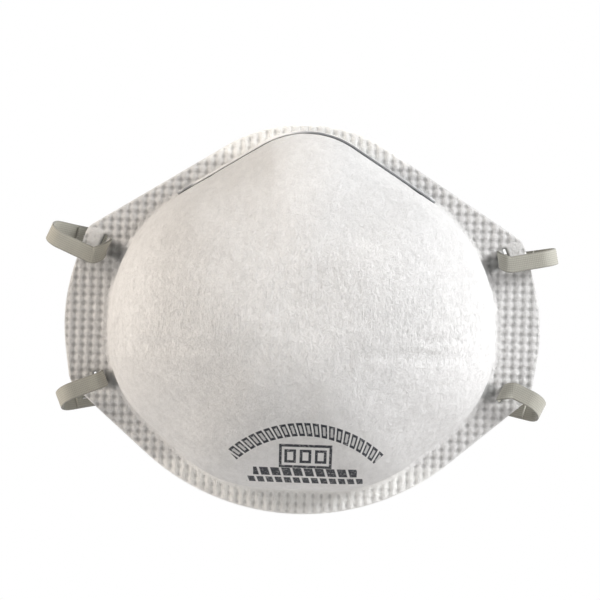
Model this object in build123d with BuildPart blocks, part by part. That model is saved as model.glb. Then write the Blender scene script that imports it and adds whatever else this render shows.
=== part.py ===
from build123d import *

import os
from math import atan2, copysign, cos, pi, radians, sin, tan

# Cup-shaped disposable dust mask, in millimetres, as it is worn.
# +Z is up, towards the nose. +X is the mask's own right-hand side seen from the front.
# The cup stands out towards -Y, and the face-side of the flange lies in the plane y = 0.

# Overall flange
mask_width = 146.0
mask_height = 119.6

# Flange margins left around the cup
side_margin = 13.8
slope_margin = 6.0  # below the flange's upper slopes
jaw_margin = 7.5  # above its lower slopes
chin_margin = 7.6

# Cup
cup_depth = 48.0  # from the face plane to the outside of the crown
crown_lift = 3.0  # the crown stands this far above the flange's centre
fullness = 2.4  # exponent of the cup's rounded profile: 2 is an ellipse, more is boxier

# Plies, from the face outwards: wall in the moulded cup, and thickness pressed in the flange
lining_wall = 0.3
lining_pressed = 0.25
support_wall = 1.0
support_pressed = 0.45
filter_wall = 0.4
filter_pressed = 0.2
cover_wall = 0.5
cover_pressed = 0.4
ply_gap = 0.05  # between one moulded ply and the next

# Slits in the flange, which the elastic goes through
slit_end_clearance = 1.0  # from each edge of the elastic to the end of its slit
slit_side_clearance = 0.4  # from each face of the elastic to the side of its slit
slit_lean = 22.0  # degrees from vertical
slit_corner = 0.3
upper_slit_inset = 4.9  # from the flange's shoulder corner, inwards and downwards
lower_slit_inset = 8.6  # from the flange's jaw corner, inwards
lower_slit_rise = 1.0  # from the flange's jaw corner, upwards

# Elastic headbands
band_width = 5.0
band_thickness = 0.8
loop_reach = 14.4  # from the slit to the outside of the hairpin
loop_front = 4.4  # stand-off of the front run from the middle of the flange
hairpin_radius = 3.6
slit_bend_radius = 1.6
back_run_slope = 32.0  # degrees between the flange and the run behind it
tail_length = 10.5  # sewn-back end that lies along the run behind the flange
tail_gap = 0.04
rear_reach = 45.0  # from the middle of the flange to the band behind the head
rear_rise = 2.0  # the band's middle stands this much further out than its slits

# Staples that close the band ends
staple_wire = 0.5
staple_crown = 4.4
staple_corner = 0.5
staple_tip = 1.5

# Nose clip and nose cushion
clip_length = 90.0
clip_width = 5.0
clip_thickness = 1.0
clip_end_radius = 2.2
clip_clearance = 0.15
foam_length = 84.0
foam_width = 10.0
foam_thickness = 4.0
foam_setback = 0.6  # the cushion starts this far inside the face plane

os.makedirs("parts", exist_ok=True)

# The plies in their order from the face outwards
plies = [
    ("inner_lining", lining_wall, lining_pressed),
    ("support_shell", support_wall, support_pressed),
    ("filter_web", filter_wall, filter_pressed),
    ("outer_cover", cover_wall, cover_pressed),
]
flange_thickness = sum(pressed for _, _, pressed in plies)
cup_wall = sum(wall for _, wall, _ in plies)
slit_length = band_width + 2 * slit_end_clearance
slit_width = band_thickness + 2 * slit_side_clearance

# Corners of the flange before they are rounded, on the right-hand side: shares of half the
# width and half the height give the outline's shape
half_width = mask_width / 2
half_height = mask_height / 2
nose_corner = (0.0, 1.145 * half_height)
shoulder_corner = (0.92 * half_width, 0.436 * half_height)
side_corner = (1.02 * half_width, 0.03 * half_height)
jaw_corner = (0.972 * half_width, -0.368 * half_height)
chin_corner = (0.0, -1.39 * half_height)

# How far from each corner its rounding starts
flange_nose_reach = 30.0
flange_shoulder_reach = 2.0
flange_side_reach = 13.0
flange_jaw_reach = 3.0
flange_chin_reach = 62.0

# Upper and lower slopes of the flange, which the cup's slopes follow at their margins
upper_slope = atan2(nose_corner[1] - shoulder_corner[1], shoulder_corner[0])
lower_slope = atan2(jaw_corner[1] - chin_corner[1], jaw_corner[0])
cup_half_width = half_width - side_margin
cup_nose_z = nose_corner[1] - slope_margin / cos(upper_slope)
cup_shoulder_z = cup_nose_z - cup_half_width * tan(upper_slope)
lower_line_z = chin_corner[1] + jaw_margin / cos(lower_slope)
cup_jaw_z = lower_line_z + cup_half_width * tan(lower_slope)
cup_chin_z = chin_margin - half_height
cup_chin_x = (cup_chin_z - lower_line_z) / tan(lower_slope)
cup_side = cup_shoulder_z - cup_jaw_z
cup_corners = [
    (0.0, cup_nose_z),
    (cup_half_width, cup_shoulder_z),
    (cup_half_width, cup_jaw_z),
    (cup_chin_x, cup_chin_z),
]
cup_nose_reach = 16.4
cup_reaches = [cup_nose_reach, 0.56 * cup_side, 0.34 * cup_side, 0.6 * cup_chin_x]


def mirrored(corners, reaches):
    """A symmetrical outline's corners and reaches, given those with x of 0 or more."""
    left = [
        ((-x, z), reach) for (x, z), reach in zip(corners, reaches, strict=True) if x > 0
    ]
    return corners + [c for c, _ in left[::-1]], reaches + [r for _, r in left[::-1]]


def rounded_radii(corners, reaches):
    """Radius of each corner's arc, from how far along its sides the arc reaches."""
    radii = []
    for i, corner in enumerate(corners):
        before = Vector(*corners[i - 1])
        after = Vector(*corners[(i + 1) % len(corners)])
        turn = 180 - (before - Vector(*corner)).get_angle(after - Vector(*corner))
        radii.append(reaches[i] / tan(radians(turn / 2)))
    return radii


def draw_outline(corners, reaches, scale=1.0, rise=0.0):
    """Draws a closed rounded outline in the current line builder."""
    points = [(x * scale, z * scale + rise) for x, z in corners]
    spans = [reach * scale for reach in reaches]
    FilletPolyline(*points, radius=rounded_radii(points, spans), close=True)


def cup_body(inset, base):
    """Solid cup whose surface lies inset inside the outer cover's, standing on y = -base."""
    corners, reaches = mirrored(cup_corners, cup_reaches)
    height = cup_depth - inset - base
    foot = (cup_half_width - inset) / cup_half_width
    with BuildPart() as cup:
        for angle in (0, 6, 16, 28, 42, 56, 68, 78, 85):
            across = cos(radians(angle)) ** (2 / fullness)
            along = sin(radians(angle)) ** (2 / fullness)
            with BuildSketch(Plane.XZ.offset(base + height * along)):
                with BuildLine():
                    draw_outline(corners, reaches, foot * across, crown_lift * along**2)
                make_face()
        crown = Vertex(0, inset - cup_depth, crown_lift)
        loft(sections=[*cup.pending_faces, crown])
    return cup.part


def slit_places():
    """Side, level and centre of each of the four slits."""
    upper_x = shoulder_corner[0] - upper_slit_inset
    upper_z = shoulder_corner[1] - upper_slit_inset
    lower_x = jaw_corner[0] - lower_slit_inset
    lower_z = jaw_corner[1] + lower_slit_rise
    return [
        (side, level, side * x, z)
        for level, x, z in ((1, upper_x, upper_z), (-1, lower_x, lower_z))
        for side in (1, -1)
    ]


# The four plies: each is a pressed flange ring that runs into a moulded cup
flange_corners, flange_reaches = mirrored(
    [nose_corner, shoulder_corner, side_corner, jaw_corner, chin_corner],
    [
        flange_nose_reach,
        flange_shoulder_reach,
        flange_side_reach,
        flange_jaw_reach,
        flange_chin_reach,
    ],
)
face_side = 0.0
inset = cup_wall
inner_surface = cup_body(inset, face_side)
for name, wall, pressed in plies:
    inset -= wall
    outer_surface = cup_body(inset, face_side + pressed)
    with BuildPart() as ply:
        with BuildSketch(Plane.XZ.offset(face_side)):
            with BuildLine():
                draw_outline(flange_corners, flange_reaches)
            make_face()
            for side, level, x, z in slit_places():
                with Locations(Location((x, z), 90 + side * level * slit_lean)):
                    RectangleRounded(
                        slit_length, slit_width, slit_corner, mode=Mode.SUBTRACT
                    )
        extrude(amount=pressed)
        add(outer_surface)
        add(inner_surface, mode=Mode.SUBTRACT)
    ply.part.label = name
    export_step(ply.part, f"parts/{name}.step")
    face_side += pressed
    inner_surface = cup_body(inset - ply_gap, face_side)

# Nose clip: a strip bent over the bridge of the cup, and the cushion inside it
clip_offset = clip_clearance + clip_thickness / 2
foam_offset = -cup_wall - foam_thickness / 2


def draw_bridge(offset, length):
    """Draws a run of that length over the cup's nose, offset outwards from its outline."""
    slope = Vector(cos(upper_slope), -sin(upper_slope))
    radius = cup_nose_reach / tan(upper_slope) + offset
    peak = Vector(0, cup_nose_z + offset / cos(upper_slope))
    straight = length / 2 - radius * upper_slope
    reach = radius * tan(upper_slope)
    right = peak + slope * (reach + straight)
    FilletPolyline((-right.X, right.Y), (0, peak.Y), (right.X, right.Y), radius=radius)


with BuildPart() as nose_clip:
    with BuildSketch(Plane.XZ.offset(flange_thickness + clip_clearance)):
        with BuildLine():
            draw_bridge(clip_offset, clip_length)
        trace(line_width=clip_thickness)
    extrude(amount=clip_width)
    corners = nose_clip.edges().filter_by(
        lambda edge: abs(edge.length - clip_thickness) < clip_thickness / 10
    )
    fillet(corners, clip_end_radius)
nose_clip.part.label = "nose_clip"
export_step(nose_clip.part, "parts/nose_clip.step")

foam_room = cup_body(cup_wall + ply_gap, 0.0)
with BuildPart() as nose_foam:
    with BuildSketch(Plane.XZ.offset(foam_setback)):
        with BuildLine():
            draw_bridge(foam_offset, foam_length)
        trace(line_width=foam_thickness)
    extrude(amount=foam_width)
    add(foam_room, mode=Mode.INTERSECT)
nose_foam.part.label = "nose_foam"
export_step(nose_foam.part, "parts/nose_foam.step")


# Headbands: at each end the strap comes forward round the edge of the flange, goes back
# through its slit and is stapled to itself, all in one leaning plane
middle = flange_thickness / 2
back_slope = radians(back_run_slope)
back_turn = pi / 2 + back_slope  # of the strap, from its slit into its sewn-back end
hairpin_u = loop_reach - band_thickness / 2
hairpin_v = 2 * hairpin_radius - loop_front
back_v = hairpin_v + hairpin_u * tan(back_slope)
tail_pitch = band_thickness + tail_gap
tail_v = back_v - tail_pitch / cos(back_slope)
staple_place = (slit_bend_radius * tan(back_turn / 2) + tail_length) / 2
rear_sections = 12


def loop_plane(side, level, x, z):
    """Plane of one strap loop: its X axis points outwards and its Y axis backwards."""
    lean = radians(slit_lean)
    return Plane(
        origin=(x, -middle, z),
        x_dir=(side * cos(lean), 0, level * sin(lean)),
        z_dir=(-level * sin(lean), 0, side * cos(lean)),
    )


def back_run(along, behind=0.0, start=back_v):
    """Point of the loop's plane that far along the back run, and behind its middle."""
    u = along * cos(back_slope) + behind * sin(back_slope)
    v = start - along * sin(back_slope) + behind * cos(back_slope)
    return (u, v)


def rear_frames(right, left):
    """Planes across the strap where it goes from one loop round the back of the head."""
    ends = [plane.from_local_coords(Vector(0, back_v, 0)) for plane in (right, left)]
    before = [plane.from_local_coords(Vector(*back_run(1.0), 0)) for plane in (right, left)]
    rise = copysign(rear_rise, ends[0].Z)
    rear = Vector(0, rear_reach - middle, right.origin.Z + rise)
    leave, arrive = ends[0] - before[0], before[1] - ends[1]
    route = Spline(ends[0], rear, ends[1], tangents=[leave, arrive])
    for step in range(rear_sections + 1):
        share = step / rear_sections
        loop = right.z_dir if share < 0.5 else -left.z_dir
        upright = sin(pi * share) ** 2
        across = loop * (1 - upright) + Vector(0, 0, upright)
        along = route % share
        across = across - along * across.dot(along)
        yield Plane(origin=route @ share, x_dir=across, z_dir=along)


for level, name in ((1, "upper"), (-1, "lower")):
    right, left = [loop_plane(*place) for place in slit_places() if place[1] == level]
    with BuildPart() as headband:
        for plane in (right, left):
            with BuildSketch(plane):
                with BuildLine():
                    FilletPolyline(
                        back_run(tail_length, start=tail_v),
                        (0, tail_v),
                        (0, -loop_front),
                        (hairpin_u, -loop_front),
                        (hairpin_u, hairpin_v),
                        (0, back_v),
                        radius=2 * [slit_bend_radius] + 2 * [hairpin_radius],
                    )
                trace(line_width=band_thickness)
            extrude(amount=band_width / 2, both=True)
        for frame in rear_frames(right, left):
            with BuildSketch(frame):
                Rectangle(band_width, band_thickness)
        loft()
    headband.part.label = f"{name}_headband"
    export_step(headband.part, f"parts/{name}_headband.step")

    # One staple at each end goes through the run behind the flange and the sewn-back end
    crown = (band_thickness + staple_wire) / 2
    clinch = -crown - tail_pitch
    legs = (staple_place - staple_crown / 2, staple_place + staple_crown / 2)
    for plane, side in ((right, "right"), (left, "left")):
        with BuildPart() as staple:
            with BuildLine(plane) as wire:
                FilletPolyline(
                    back_run(legs[0] + staple_tip, clinch),
                    back_run(legs[0], clinch),
                    back_run(legs[0], crown),
                    back_run(legs[1], crown),
                    back_run(legs[1], clinch),
                    back_run(legs[1] - staple_tip, clinch),
                    radius=staple_corner,
                )
            with BuildSketch(Plane(origin=wire.line @ 0, z_dir=wire.line % 0)):
                Circle(staple_wire / 2)
            sweep()
        staple.part.label = f"staple_{name}_{side}"
        export_step(staple.part, f"parts/staple_{name}_{side}.step")
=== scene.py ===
"""Looks of a cup-shaped disposable dust mask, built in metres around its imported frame.

The mask is worn with +Z up and its cup standing out towards -Y. Four bonded plies make
the cup and its flange, a clip and a cushion shape the nose, and two elastic headbands
loop round the flange's edge at its slits and are stapled to themselves.
"""

import logging
import math
from dataclasses import dataclass, field, replace
from enum import Enum
from typing import Any, Callable, Iterable, Sequence

import bmesh
import bpy
import numpy as np
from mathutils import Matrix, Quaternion, Vector, kdtree, noise
from mathutils.geometry import delaunay_2d_cdt


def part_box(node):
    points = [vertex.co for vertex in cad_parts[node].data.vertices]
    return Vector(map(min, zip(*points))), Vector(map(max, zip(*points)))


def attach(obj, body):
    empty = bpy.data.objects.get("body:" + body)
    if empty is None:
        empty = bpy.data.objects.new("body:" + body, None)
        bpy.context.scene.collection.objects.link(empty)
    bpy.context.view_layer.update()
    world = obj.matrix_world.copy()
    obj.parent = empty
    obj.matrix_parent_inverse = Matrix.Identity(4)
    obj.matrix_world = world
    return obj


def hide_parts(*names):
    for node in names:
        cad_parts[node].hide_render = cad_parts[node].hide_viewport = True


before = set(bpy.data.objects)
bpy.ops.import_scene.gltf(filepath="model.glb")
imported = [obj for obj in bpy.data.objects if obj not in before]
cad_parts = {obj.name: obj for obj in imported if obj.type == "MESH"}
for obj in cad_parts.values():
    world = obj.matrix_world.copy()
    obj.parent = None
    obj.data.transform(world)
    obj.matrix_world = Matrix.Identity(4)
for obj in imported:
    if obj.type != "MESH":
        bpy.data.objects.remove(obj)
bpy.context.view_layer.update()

log = logging.getLogger("dust_mask")

MM = 0.001


# ---------------------------------------------------------------------------------------
# Shader building
# ---------------------------------------------------------------------------------------


def math_method(operation: str) -> Callable[..., "Value"]:
    """A method of Value that adds a Math node.

    Args:
        operation: The Math node's operation.

    Returns:
        The method. It takes the operation's other numbers, if it has any.
    """

    def method(value: "Value", *others: "Number") -> "Value":
        """The operation's result."""
        return value.tree.math(operation, value, *others)

    return method


class Value:
    """A number in a material's node tree. Arithmetic on it adds Math nodes."""

    def __init__(self, tree: "Tree", socket: bpy.types.NodeSocket) -> None:
        """Wraps one output socket of the tree."""
        self.tree = tree
        self.socket = socket

    __add__ = __radd__ = math_method("ADD")
    __mul__ = __rmul__ = math_method("MULTIPLY")
    __sub__ = math_method("SUBTRACT")
    __truediv__ = math_method("DIVIDE")
    __pow__ = math_method("POWER")
    __abs__ = math_method("ABSOLUTE")
    most = math_method("MAXIMUM")
    fraction = math_method("FRACT")

    def __rsub__(self, other: float) -> "Value":
        """Reflected difference, as in 1 - mask."""
        return self.tree.math("SUBTRACT", other, self)

    def ramp(self, low: float, high: float) -> "Value":
        """Smooth step from 0 at low to 1 at high.

        Args:
            low: Value that gives 0. It may be the larger one.
            high: Value that gives 1.

        Returns:
            The step, from 0 to 1.
        """
        settings = {"interpolation_type": "SMOOTHSTEP"}
        links = {"Value": self, "From Min": low, "From Max": high}
        return self.tree.value("ShaderNodeMapRange", settings, links, "Result")


Number = Value | float


class Tree:
    """The node tree of one material or of the world."""

    def __init__(self, owner: bpy.types.Material | bpy.types.World) -> None:
        """Empties the node tree of a material or of a world."""
        owner.use_nodes = True
        self.owner = owner
        self.tree = owner.node_tree
        self.tree.nodes.clear()

    def node(
        self,
        kind: str,
        settings: dict[str, Any] | None = None,
        links: dict[str | int, Any] | None = None,
    ) -> bpy.types.Node:
        """Adds one node.

        Args:
            kind: The node's type.
            settings: Its settings, which are set first.
            links: What each input takes: a number, a colour, a Value or a socket.

        Returns:
            The new node.
        """
        node = self.tree.nodes.new(kind)
        for key, setting in (settings or {}).items():
            setattr(node, key, setting)
        for key, given in (links or {}).items():
            source = given.socket if isinstance(given, Value) else given
            if isinstance(source, bpy.types.NodeSocket):
                self.tree.links.new(source, node.inputs[key])
            else:
                node.inputs[key].default_value = source
        return node

    def value(
        self,
        kind: str,
        settings: dict[str, Any] | None = None,
        links: dict[str | int, Any] | None = None,
        output: str | int = 0,
    ) -> Value:
        """Adds one node and returns one of its outputs as a Value."""
        return Value(self, self.node(kind, settings, links).outputs[output])

    def math(self, operation: str, *inputs: Number) -> Value:
        """Adds a Math node for that operation."""
        links = dict(enumerate(inputs))
        return self.value("ShaderNodeMath", {"operation": operation}, links)

    def place(self) -> bpy.types.NodeSocket:
        """The piece's own coordinates, in metres."""
        return self.node("ShaderNodeTexCoord").outputs["Object"]

    def axes(self, vector: bpy.types.NodeSocket) -> tuple[Value, Value, Value]:
        """The three coordinates of a vector."""
        node = self.node("ShaderNodeSeparateXYZ", links={0: vector})
        x, y, z = (Value(self, node.outputs[axis]) for axis in "XYZ")
        return x, y, z

    def attribute(self, name: str, output: str = "Fac") -> bpy.types.NodeSocket:
        """An attribute that the mesh holds."""
        return self.node("ShaderNodeAttribute", {"attribute_name": name}).outputs[output]

    def stretched(
        self,
        vector: bpy.types.NodeSocket,
        turn: Sequence[float],
        scale: Sequence[float],
    ) -> bpy.types.NodeSocket:
        """Coordinates turned by those degrees and stretched by those scales."""
        angles = tuple(math.radians(angle) for angle in turn)
        links = {"Vector": vector, "Rotation": angles, "Scale": tuple(scale)}
        return self.node("ShaderNodeMapping", {"vector_type": "POINT"}, links).outputs[0]

    def noise(
        self, vector: bpy.types.NodeSocket, scale: float = 1.0, detail: float = 2.0
    ) -> Value:
        """Soft noise from about 0 to 1."""
        links = {"Vector": vector, "Scale": scale, "Detail": detail}
        return self.value("ShaderNodeTexNoise", None, links, "Fac")

    def drawn(
        self,
        vector: bpy.types.NodeSocket,
        turn: Sequence[float],
        scale: Sequence[float],
        detail: float,
    ) -> Value:
        """Soft noise on coordinates that are turned and stretched first."""
        return self.noise(self.stretched(vector, turn, scale), 1.0, detail)

    def blend(self, share: Number, first: Any, second: Any) -> bpy.types.NodeSocket:
        """Mixes two colours: a share of 0 gives the first and 1 the second."""
        settings = {"data_type": "RGBA"}
        links = {0: share, 6: first, 7: second}
        return self.node("ShaderNodeMix", settings, links).outputs[2]

    def bump(
        self, height: Value, distance: float, strength: float = 1.0
    ) -> bpy.types.NodeSocket:
        """A normal that stands height times distance proud of the surface."""
        links = {"Height": height, "Distance": distance, "Strength": strength}
        return self.node("ShaderNodeBump", None, links).outputs["Normal"]

    def surface(self, **links: Any) -> bpy.types.Material:
        """Closes the material with one Principled BSDF.

        Args:
            **links: Its inputs, with _ for each space in a name.

        Returns:
            The finished material.
        """
        named = {key.replace("_", " "): given for key, given in links.items()}
        shader = self.node("ShaderNodeBsdfPrincipled", None, named)
        self.node("ShaderNodeOutputMaterial", None, {"Surface": shader.outputs[0]})
        return self.owner


Colour = tuple[float, float, float, float]


def tint(red: float, green: float, blue: float) -> Colour:
    """A colour as shaders take it, with full cover."""
    return (red, green, blue, 1.0)


# ---------------------------------------------------------------------------------------
# Finishes
# ---------------------------------------------------------------------------------------


def fibres(
    tree: Tree, place: bpy.types.NodeSocket, width: float, length: float
) -> Value:
    """Fine fibres that lie across each other, about 0 between them and 1 on them.

    Args:
        tree: The material's tree.
        place: The coordinates that they follow.
        width: Width of a fibre bundle, in metres.
        length: Length of a fibre bundle, in metres.

    Returns:
        The height of the fibres.
    """
    thin, long = 1 / width, 1 / length
    lays = (
        ((0, 8, 0), (thin, thin, long)),
        ((0, 52, 20), (thin, thin, long)),
        ((0, -38, -15), (thin, thin, long)),
        ((25, 80, 0), (thin, thin, long)),
    )
    height = None
    for turn, scale in lays:
        wave = tree.drawn(place, turn, scale, 1.0)
        ridge = (1 - abs(wave - 0.5) * 9.0).most(0.0)
        height = ridge if height is None else height.most(ridge)
    return height


@dataclass(frozen=True)
class InkRow:
    """Sizes of one row of printed blocks."""

    level: float
    half_length: float
    half_height: float
    pitch: float
    duty: float
    shift: float
    slant: float = 0.0


@dataclass(frozen=True)
class PrintedInk:
    """A generic block of ink marks on the lower cup: bars and frames, with no lettering."""

    colour: Colour = tint(0.010, 0.014, 0.024)
    middle_x: float = 2.6 * MM
    middle_z: float = -40.4 * MM
    strength: float = 0.98
    arc_radius: float = 31.5 * MM
    arc_rise: float = 8.5 * MM
    edge: float = 0.10 * MM

    def blocks(self, along: Value, across: Value, row: InkRow) -> Value:
        """One row of blocks.

        Args:
            along: Distance along the row from its middle.
            across: Distance from the row's line.
            row: The row's sizes.

        Returns:
            The row's cover, 0 or 1.
        """
        inside_row = abs(along).ramp(row.half_length, row.half_length - self.edge)
        line = abs(across).ramp(row.half_height + self.edge, row.half_height)
        beat = ((along + across * row.slant) / row.pitch + row.shift).fraction()
        bar = abs(beat - 0.5).ramp(row.duty / 2 + 0.06, row.duty / 2 - 0.02)
        return inside_row * line * bar

    def frame(self, along: Value, across: Value, wide: float, high: float) -> Value:
        """The outline of a box of those half sizes."""
        out = (abs(along) - wide).most(abs(across) - high)
        return abs(out).ramp(0.36 * MM + self.edge, 0.36 * MM)

    def cover(self, tree: Tree, place: bpy.types.NodeSocket) -> Value:
        """How much ink lies at a place on the cup, from 0 to 1."""
        x, y, z = tree.axes(place)
        x = x - self.middle_x
        height = z - self.middle_z
        rows = (
            InkRow(-4.9 * MM, 15.5 * MM, 1.25 * MM, 3.3 * MM, 0.74, 0.15, 0.3),
            InkRow(-7.7 * MM, 17.5 * MM, 0.90 * MM, 2.7 * MM, 0.70, 0.40, 0.3),
        )
        marks = self.frame(x, height - 0.2 * MM, 7.4 * MM, 3.3 * MM)
        for shift in (-4.5, 0.0, 4.5):
            box = self.frame(x - shift * MM, height - 0.2 * MM, 1.3 * MM, 1.7 * MM)
            marks = marks.most(box)
        for row in rows:
            marks = marks.most(self.blocks(x, height - row.level, row))
        drop = height + (self.arc_radius - self.arc_rise)
        radius = (x * x + drop * drop) ** 0.5
        angle = tree.math("ARCTAN2", x, drop)
        arch = InkRow(0.0, 24.0 * MM, 1.95 * MM, 2.3 * MM, 0.72, 0.2, 0.25)
        across = radius - self.arc_radius
        way = angle * self.arc_radius
        core = self.blocks(way, across, replace(arch, half_height=1.2 * MM, duty=0.30))
        marks = marks.most(self.blocks(way, across, arch) - core * 0.75)
        front = y.ramp(-3 * MM, -6 * MM)
        worn = tree.noise(place, 1400.0, 3.0).ramp(0.28, 0.46)
        return marks * front * (0.55 + worn * 0.45) * self.strength


@dataclass(frozen=True)
class Nonwoven:
    """Felted polymer fibre sheet, with a print on the outside cover only."""

    name: str
    light: Colour
    deep: Colour
    fibre_width: float = 0.30 * MM
    fibre_length: float = 3.4 * MM
    fuzz: float = 0.34 * MM
    pit_shade: float = 0.34
    ink: PrintedInk | None = None

    def make(self) -> bpy.types.Material:
        """Makes the material."""
        tree = Tree(bpy.data.materials.new(self.name))
        place = tree.place()
        strands = fibres(tree, place, self.fibre_width, self.fibre_length)
        cloud = tree.noise(place, 60.0, 3.0)
        mottle = tree.noise(place, 420.0, 3.0)
        fluff = tree.noise(place, 2300.0, 2.0)
        streak = tree.drawn(place, (0, 4, 0), (640, 300, 70), 2.0)
        shade = cloud.ramp(0.30, 0.70) * 0.26 + fluff.ramp(0.25, 0.75) * 0.26
        shade = shade + (1 - strands) * 0.22 + mottle.ramp(0.34, 0.66) * 0.18
        shade = shade + streak.ramp(0.35, 0.65) * 0.12
        # Painted light: where the pale attribute stands, at the flange's top and bottom, the
        # grain is dropped and the colour lightened.
        pale = Value(tree, tree.attribute("pale"))
        colour = tree.blend(shade * (1 - pale), self.light, self.deep)
        colour = tree.blend(pale * 0.85, colour, tint(0.95, 0.94, 0.91))
        # Painted shade in the emboss pits: the deeper a point lies in the waffle, the darker its
        # colour.
        pits = Value(tree, tree.attribute("pit"))
        dark = tuple(channel * (1 - self.pit_shade) for channel in self.deep[:3])
        colour = tree.blend(pits.ramp(0.30, 1.05), colour, tint(*dark))
        # Painted shade: the tail attribute darkens a shadow patch inwards of each slit and each
        # slit's rim.
        tail = Value(tree, tree.attribute("tail"))
        colour = tree.blend(tail * 0.72, colour, tint(0.16, 0.165, 0.16))
        if self.ink:
            cover = self.ink.cover(tree, place)
            colour = tree.blend(cover, colour, self.ink.colour)
        height = strands * 0.45 + fluff * 0.6 + mottle * 1.7 + streak * 0.5
        return tree.surface(
            Base_Color=colour,
            Roughness=1 - strands * 0.16,
            Normal=tree.bump(height, self.fuzz),
            Sheen_Weight=0.12,
            Sheen_Roughness=0.6,
            Specular_IOR_Level=0.25,
        )


@dataclass(frozen=True)
class RibbedElastic:
    """Knitted elastic with rubber cords under a thin yarn cover."""

    name: str
    light: Colour
    deep: Colour
    rib_pitch: float = 0.62 * MM
    stitch_pitch: float = 0.55 * MM

    def make(self) -> bpy.types.Material:
        """Makes the material. The weave attribute holds the way across and along."""
        tree = Tree(bpy.data.materials.new(self.name))
        weave = tree.attribute("weave", "Vector")
        across, along, _ = tree.axes(weave)
        rib = abs((across / self.rib_pitch).fraction() - 0.5) * 2.0
        slant = along / self.stitch_pitch + rib * 0.35
        stitch = abs(slant.fraction() - 0.5) * 2.0
        yarn = tree.drawn(weave, (0, 0, 0), (5200, 1300, 1), 2.0)
        # Painted shade in the hollows between the ribs and along the stitch lines.
        hollow = (1 - rib.ramp(0.0, 0.45)).most(stitch.ramp(0.25, 0.0) * 0.5)
        cloud = tree.noise(tree.place(), 240.0, 2.0)
        # Painted shade along both edges of the band.
        painted_edge_shade = abs(across).ramp(2.25 * MM, 2.48 * MM)
        shade = hollow * 0.40 + cloud * 0.3 + yarn * 0.2 + painted_edge_shade * 0.9
        return tree.surface(
            Base_Color=tree.blend(shade, self.light, self.deep),
            Roughness=0.62 + yarn * 0.3,
            Normal=tree.bump(rib * 0.5 + stitch * 0.5 + yarn * 0.5, 0.09 * MM),
            Sheen_Weight=0.3,
            Sheen_Roughness=0.4,
        )


@dataclass(frozen=True)
class RolledAluminium:
    """Soft aluminium strip with rolling lines and small scratches."""

    name: str

    def make(self) -> bpy.types.Material:
        """Makes the material."""
        tree = Tree(bpy.data.materials.new(self.name))
        place = tree.place()
        rolling = tree.drawn(place, (0, 0, 0), (150, 5200, 900), 3.0)
        stain = tree.noise(place, 130.0, 3.0)
        scratch = tree.drawn(place, (12, 40, 5), (220, 6400, 900), 1.0)
        mark = (1 - abs(scratch - 0.5) * 26.0).most(0.0)
        x = tree.axes(place)[0]
        # Painted light: the strip's middle and left are light grey with little metal, for a
        # lamp's reflection, and its right part and left end are dark grey metal, for shade.
        darkened = x.ramp(-9 * MM, 4 * MM).most(x.ramp(-34 * MM, -36 * MM))
        bright = tree.blend(stain, tint(0.93, 0.93, 0.92), tint(0.84, 0.84, 0.84))
        colour = tree.blend(darkened * (0.85 + stain * 0.15), bright, tint(0.36, 0.37, 0.39))
        return tree.surface(
            Base_Color=colour,
            Metallic=darkened.most(0.2),
            Roughness=0.30 + rolling * 0.22 + mark * 0.12,
            Normal=tree.bump(rolling * 0.6 - mark * 0.5, 0.03 * MM),
        )


@dataclass(frozen=True)
class DrawnSteel:
    """Bright plated steel wire with drawing lines along it."""

    name: str

    def make(self) -> bpy.types.Material:
        """Makes the material."""
        tree = Tree(bpy.data.materials.new(self.name))
        place = tree.place()
        drawing = tree.drawn(place, (0, 22, 0), (900, 900, 4800), 2.0)
        darkened = tree.noise(place, 420.0, 3.0)
        colour = tree.blend(darkened, tint(0.70, 0.70, 0.70), tint(0.46, 0.46, 0.48))
        return tree.surface(
            Base_Color=colour,
            Metallic=1.0,
            Roughness=0.22 + darkened * 0.25,
            Normal=tree.bump(drawing, 0.02 * MM),
        )


@dataclass(frozen=True)
class OpenCellFoam:
    """Cut open-cell foam: walls of cells with dark pores between them."""

    name: str
    wall: Colour
    pore: Colour
    cell: float = 0.75 * MM

    def make(self) -> bpy.types.Material:
        """Makes the material."""
        tree = Tree(bpy.data.materials.new(self.name))
        place = tree.place()
        wobble = tree.node("ShaderNodeTexNoise", None, {"Vector": place, "Scale": 900.0})
        shift = {0: wobble.outputs["Color"], 1: (0.0004,) * 3, 2: place}
        moved = tree.node("ShaderNodeVectorMath", {"operation": "MULTIPLY_ADD"}, shift)
        links = {"Vector": moved.outputs[0], "Scale": 1 / self.cell}
        cells = tree.value("ShaderNodeTexVoronoi", {"feature": "F1"}, links, "Distance")
        # The pores' dark colour is painted shade inside the open cells.
        pores = cells.ramp(0.46, 0.12)
        cloud = tree.noise(place, 120.0, 3.0)
        return tree.surface(
            Base_Color=tree.blend(pores * 0.75 + cloud * 0.2, self.wall, self.pore),
            Roughness=0.94 - pores * 0.1,
            Normal=tree.bump(1 - pores, 0.18 * MM),
            Specular_IOR_Level=0.2,
        )


@dataclass(frozen=True)
class PaleFloor:
    """Matt white studio floor."""

    name: str

    def make(self) -> bpy.types.Material:
        """Makes the material."""
        tree = Tree(bpy.data.materials.new(self.name))
        grain = tree.noise(tree.place(), 35.0, 3.0)
        return tree.surface(
            Base_Color=tree.blend(grain, tint(0.62, 0.62, 0.62), tint(0.59, 0.59, 0.60)),
            Roughness=0.9,
            Normal=tree.bump(grain, 0.2 * MM),
        )


# ---------------------------------------------------------------------------------------
# Plane geometry
# ---------------------------------------------------------------------------------------


def unit(vector: np.ndarray) -> np.ndarray:
    """The vector at length one."""
    return vector / np.linalg.norm(vector)


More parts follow.
